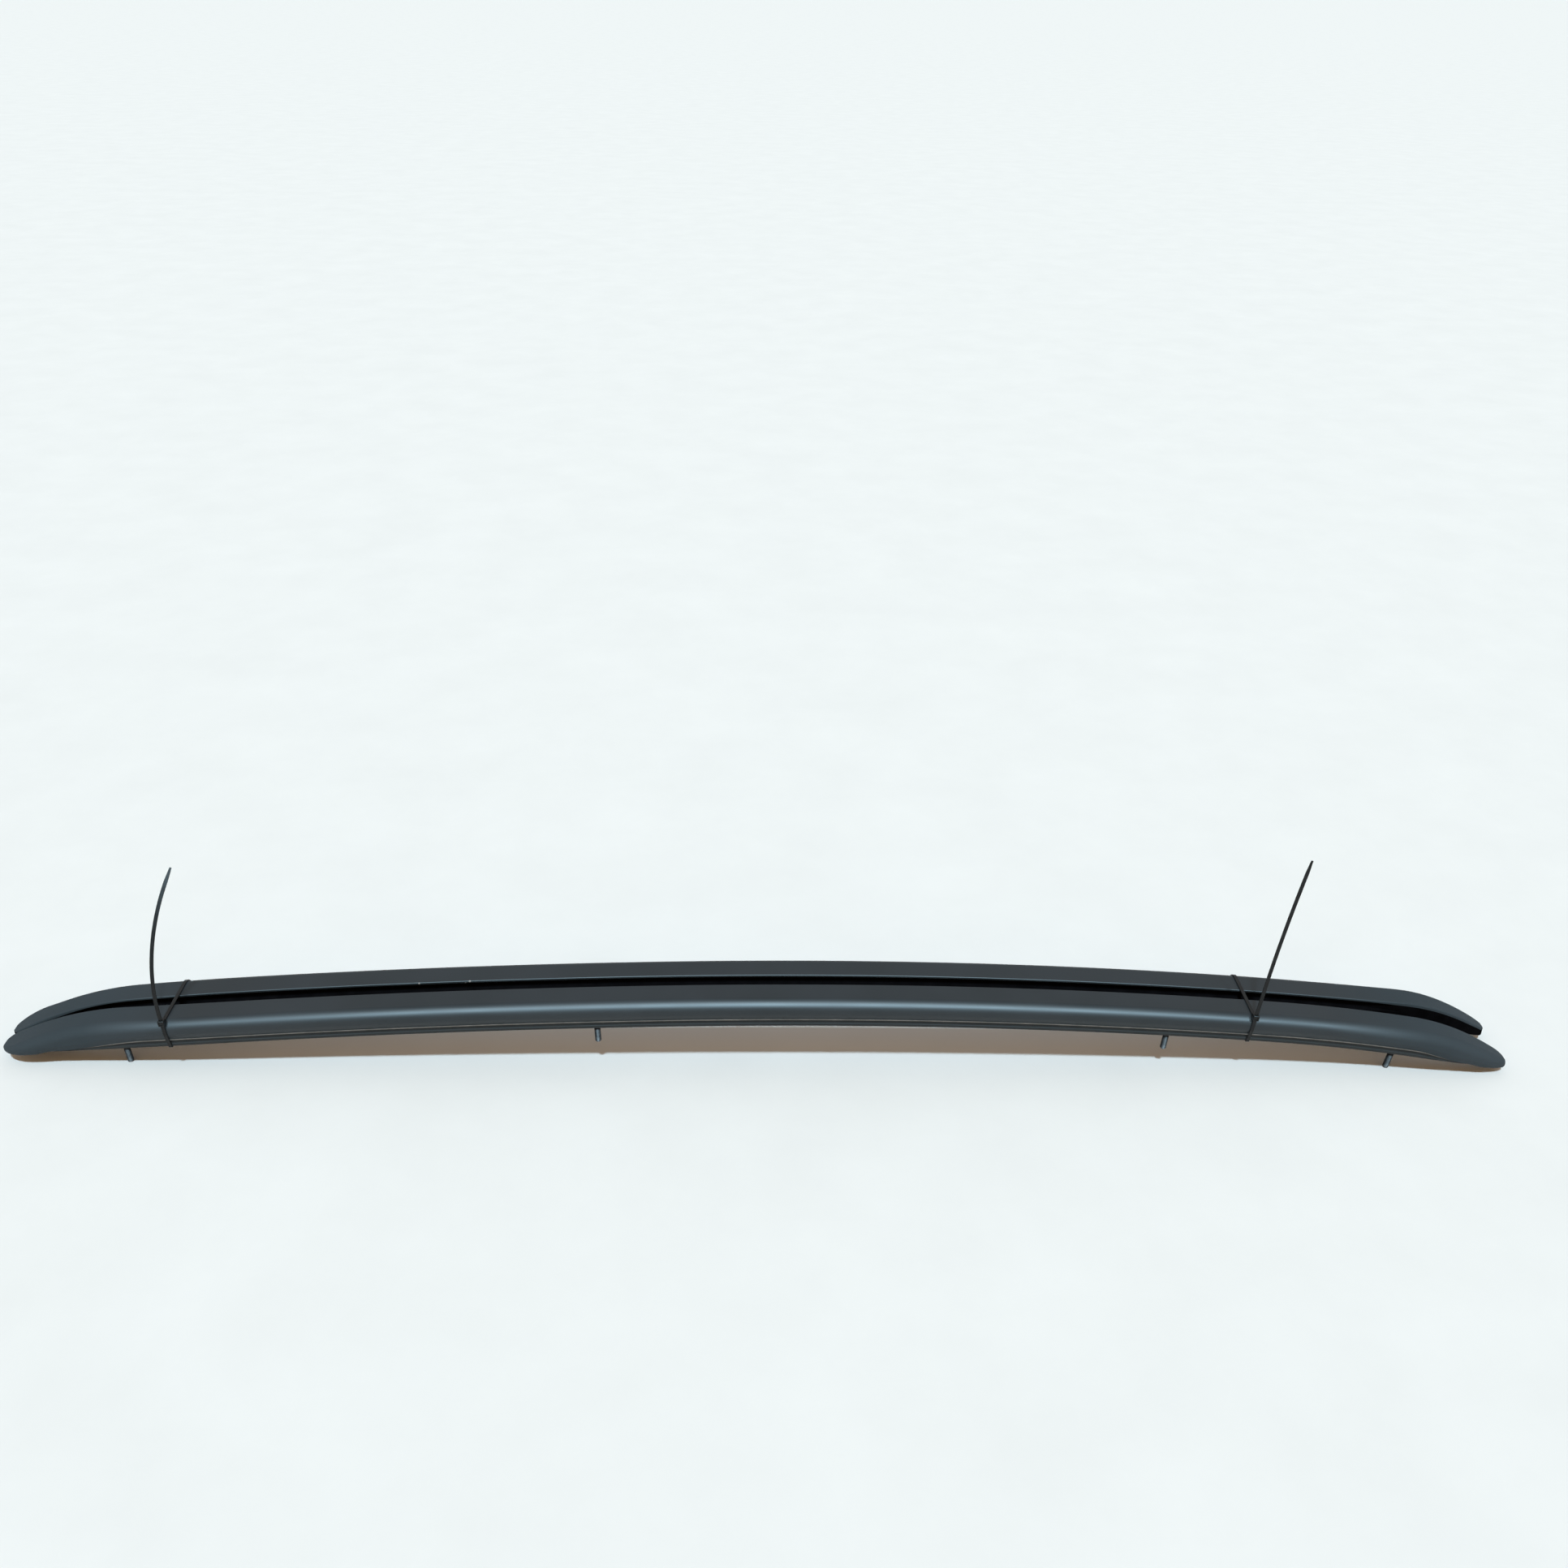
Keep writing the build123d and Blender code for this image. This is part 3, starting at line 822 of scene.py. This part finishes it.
def light_spots(nodes, links):
    """Share, from nought to one, of small light spots on the left-hand rail's inner lip."""
    place = nodes.new("ShaderNodeTexCoord")
    total = None
    for x, below, size in LIP_SPOTS:
        away = nodes.new("ShaderNodeVectorMath")
        away.operation = "DISTANCE"
        away.inputs[1].default_value = to_world(x, 0.0, BAR_HEIGHT - below, 1)
        links.new(place.outputs["Object"], away.inputs[0])
        spot = ramp(nodes, links, away.outputs["Value"], SPOT_CORE * size * MM, size * MM, 1.0, 0.0)
        total = spot if total is None else larger(nodes, links, total, spot)
    return total


def end_share(nodes, links):
    """Share that rises from nought along the rail to one at its formed ends."""
    place = nodes.new("ShaderNodeTexCoord")
    split = nodes.new("ShaderNodeSeparateXYZ")
    links.new(place.outputs["Object"], split.inputs["Vector"])
    away = nodes.new("ShaderNodeMath")
    away.operation = "ABSOLUTE"
    links.new(split.outputs["X"], away.inputs[0])
    return ramp(nodes, links, away.outputs["Value"], DULL_START * MM, DULL_FULL * MM, 0.0, 1.0)


def coating():
    """Satin black coating with a fine grain, a few light spots and duller ends."""
    material, nodes, links, shader = new_material("bar_coating")
    cloud = noise(nodes, links, 9.0, 4.0)
    grain = noise(nodes, links, 1500.0, 2.0)
    tone = patches(nodes, links, cloud)
    black = blend_colour(nodes, links, tone, (0.007, 0.011, 0.014), (0.012, 0.016, 0.020))
    # Lighter colour laid over the black at the spots on the lip
    spotted = lay_over(nodes, links, light_spots(nodes, links), black, (0.30, 0.29, 0.28))
    links.new(spotted, shader.inputs["Base Color"])
    satin = ramp(nodes, links, cloud, 0.3, 0.7, 0.47, 0.53)
    dull = nodes.new("ShaderNodeMix")
    dull.inputs["B"].default_value = 0.86
    links.new(end_share(nodes, links), dull.inputs["Factor"])
    links.new(satin, dull.inputs["A"])
    links.new(dull.outputs["Result"], shader.inputs["Roughness"])
    links.new(bump(nodes, links, grain, 0.12, 0.0002), shader.inputs["Normal"])
    shader.inputs["IOR"].default_value = 1.45
    return material


def painted_shade_black():
    """Painted shade: flat black without gloss for the bars' inner sides, standing in for the shade there."""
    material, nodes, links, shader = new_material("inside_painted_shade")
    tone = patches(nodes, links, noise(nodes, links, 60.0, 3.0))
    black = blend_colour(nodes, links, tone, (0.003, 0.003, 0.0035), (0.005, 0.005, 0.006))
    links.new(black, shader.inputs["Base Color"])
    shader.inputs["Roughness"].default_value = 0.9
    shader.inputs["Specular IOR Level"].default_value = 0.0
    return material


def rubber(name, dark, light):
    """Matte rubber with a little dust."""
    material, nodes, links, shader = new_material(name)
    dust = noise(nodes, links, 40.0, 5.0, 0.6)
    grain = noise(nodes, links, 900.0, 2.0)
    tone = patches(nodes, links, dust, 0.4, 0.75)
    links.new(blend_colour(nodes, links, tone, dark, light), shader.inputs["Base Color"])
    links.new(ramp(nodes, links, dust, 0.3, 0.7, 0.62, 0.8), shader.inputs["Roughness"])
    links.new(bump(nodes, links, grain, 0.25, 0.0003), shader.inputs["Normal"])
    shader.inputs["IOR"].default_value = 1.3
    return material


def plated_steel():
    """Dark plated steel."""
    material, nodes, links, shader = new_material("stud_steel")
    mottle = noise(nodes, links, 300.0, 4.0)
    tone = patches(nodes, links, mottle)
    plating = blend_colour(nodes, links, tone, (0.045, 0.042, 0.042), (0.080, 0.075, 0.073))
    links.new(plating, shader.inputs["Base Color"])
    links.new(ramp(nodes, links, mottle, 0.3, 0.7, 0.5, 0.62), shader.inputs["Roughness"])
    shader.inputs["Metallic"].default_value = 1.0
    return material


def plastic(name, dark, light, low, high):
    """Moulded black plastic with a slight sheen."""
    material, nodes, links, shader = new_material(name)
    cloud = noise(nodes, links, 120.0, 3.0)
    tone = patches(nodes, links, cloud)
    links.new(blend_colour(nodes, links, tone, dark, light), shader.inputs["Base Color"])
    links.new(ramp(nodes, links, cloud, 0.3, 0.7, low, high), shader.inputs["Roughness"])
    links.new(bump(nodes, links, noise(nodes, links, 2500.0, 2.0), 0.1, 0.0001), shader.inputs["Normal"])
    shader.inputs["IOR"].default_value = 1.33
    return material


def floor_material():
    """Pale plain floor."""
    material, nodes, links, shader = new_material("floor")
    mottle = noise(nodes, links, 6.0, 6.0, 0.6)
    tone = patches(nodes, links, mottle, 0.3, 0.7)
    pale = blend_colour(nodes, links, tone, (0.79, 0.79, 0.785), (0.82, 0.82, 0.815))
    links.new(pale, shader.inputs["Base Color"])
    shader.inputs["Roughness"].default_value = 0.85
    shader.inputs["Specular IOR Level"].default_value = 0.0
    return material


COATING = coating()
# Painted shade for the bars' inner sides below the lip
INSIDE_PAINTED_SHADE = painted_shade_black()
SEAL = rubber("seal_rubber", (0.013, 0.014, 0.014), (0.023, 0.023, 0.022))
# Lighter rubber for the seam ledge, a painted highlight line
SEAM_PAINTED_HIGHLIGHT = rubber("seam_painted_highlight", (0.09, 0.083, 0.075), (0.17, 0.155, 0.14))
WASHER = rubber("washer_rubber", (0.016, 0.016, 0.016), (0.028, 0.028, 0.028))
STEEL = plated_steel()
NYLON = plastic("tie_nylon", (0.003, 0.003, 0.003), (0.006, 0.006, 0.006), 0.34, 0.44)
SPACER = plastic("spacer_plastic", (0.03, 0.03, 0.031), (0.045, 0.045, 0.045), 0.5, 0.6)


# Pieces

def make_bar(hand, side):
    bar = mesh_object(hand + "_bar", *skin(bar_loops(side)))
    dress(bar, hand + "_rail_bar", COATING)
    # Painted shade: flat black on the inner side below the lip
    paint_inside_shade(bar)


def make_seal(hand, side):
    seal = mesh_object(hand + "_seal", *skin(seal_loops(side)))
    dress(seal, hand + "_base_seal", SEAL)
    # Painted highlight along the seam ledge
    paint_ledge_highlight(seal)


def make_stud(hand, side, end):
    place = stud_place(STUD_X[end], side)
    vertices, faces = stud_mesh()
    placed = [tuple(place @ (Vector(v) * MM)) for v in vertices]
    stud = mesh_object(hand + "_threaded_stud_" + end, placed, faces)
    sharpen(stud, STUD_EDGE_ANGLE)
    dress(stud, hand + "_stud_" + end, STEEL)


def finish_rings(hand, end):
    """Materials for the spacer and the washer round a stud, whose solids stay."""
    for kind, material in (("spacer_", SPACER), ("washer_", WASHER)):
        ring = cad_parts[hand + "_" + kind + end]
        ring.data.materials.clear()
        ring.data.materials.append(material)


def make_tie(end):
    tie = mesh_object(end + "_tie", *tie_mesh(end))
    sharpen(tie, TIE_EDGE_ANGLE)
    dress(tie, end + "_cable_tie", NYLON)


# Floor, light and camera
FLOOR_SIZE = 1200.0
FLOOR_PLACE = (0, 400, 0)
LAMP_SPREAD = math.radians(4.0)

# The photograph's viewpoint in metres, its turns, and its focal length as a share of the picture's width
CAMERA_PLACE = Vector((-0.02905, -1.574095, 1.270383))
PITCH = math.radians(28.755)
YAW = math.radians(1.831)
ROLL = math.radians(1.340)
FOCAL_SHARE = 1829.585 / 1932
SENSOR_WIDTH = 36.0


def add_floor():
    bpy.ops.mesh.primitive_plane_add(size=FLOOR_SIZE, location=FLOOR_PLACE)
    floor = bpy.context.object
    floor.name = "floor"
    floor.data.materials.append(floor_material())


def add_sun(name, energy, colour, towards):
    lamp = bpy.data.lights.new(name, "SUN")
    lamp.energy = energy
    lamp.color = colour
    lamp.angle = LAMP_SPREAD
    light = bpy.data.objects.new(name, lamp)
    light.rotation_euler = towards.to_track_quat("-Z", "Y").to_euler()
    scene.collection.objects.link(light)
    return light


def add_lamps():
    """A cool lamp high on the camera's side, and two lower ones behind the camera that add gloss alone."""
    add_sun("key", 3.0, (0.68, 0.88, 1.0), Vector((0.04, 0.47, -0.88)))
    for name, across in (("sheen_left", 0.15), ("sheen_right", -0.25)):
        sheen = add_sun(name, 4.7, (0.55, 0.83, 1.0), Vector((across, 0.71, -0.675)))
        sheen.visible_diffuse = False


def add_surround():
    """Warm light from the camera's side and cool light from behind, in front of a pale grey backdrop."""
    world = bpy.data.worlds.new("surround")
    scene.world = world
    world.use_nodes = True
    nodes = world.node_tree.nodes
    links = world.node_tree.links
    direction = nodes.new("ShaderNodeTexCoord")
    split = nodes.new("ShaderNodeSeparateXYZ")
    links.new(direction.outputs["Generated"], split.inputs["Vector"])
    depth = ramp(nodes, links, split.outputs["Y"], -0.35, 0.35, 0.0, 1.0)
    tint = blend_colour(nodes, links, depth, (0.580, 0.371, 0.186), (0.441, 0.452, 0.458))
    backdrop = lay_over(nodes, links, backdrop_share(nodes, links), tint, (0.62, 0.63, 0.63))
    links.new(backdrop, nodes["Background"].inputs["Color"])


def add_camera():
    forward = Vector((math.sin(YAW) * math.cos(PITCH), math.cos(YAW) * math.cos(PITCH), -math.sin(PITCH)))
    level = Vector((math.cos(YAW), -math.sin(YAW), 0))
    rise = level.cross(forward)
    right = level * math.cos(ROLL) + rise * math.sin(ROLL)
    over = rise * math.cos(ROLL) - level * math.sin(ROLL)
    lens = bpy.data.cameras.new("camera")
    lens.sensor_width = SENSOR_WIDTH
    lens.sensor_fit = "HORIZONTAL"
    lens.lens = SENSOR_WIDTH * FOCAL_SHARE
    camera = bpy.data.objects.new("camera", lens)
    scene.collection.objects.link(camera)
    turn = Matrix((right, over, -forward)).transposed().to_4x4()
    camera.matrix_world = Matrix.Translation(CAMERA_PLACE) @ turn
    scene.camera = camera


# The whole scene
for hand, side in (("right", -1), ("left", 1)):
    make_bar(hand, side)
    make_seal(hand, side)
    for end in STUD_X:
        make_stud(hand, side, end)
        finish_rings(hand, end)
for end in TIE_X:
    make_tie(end)
add_floor()
add_lamps()
add_surround()
add_camera()
scene.view_settings.view_transform = "Standard"
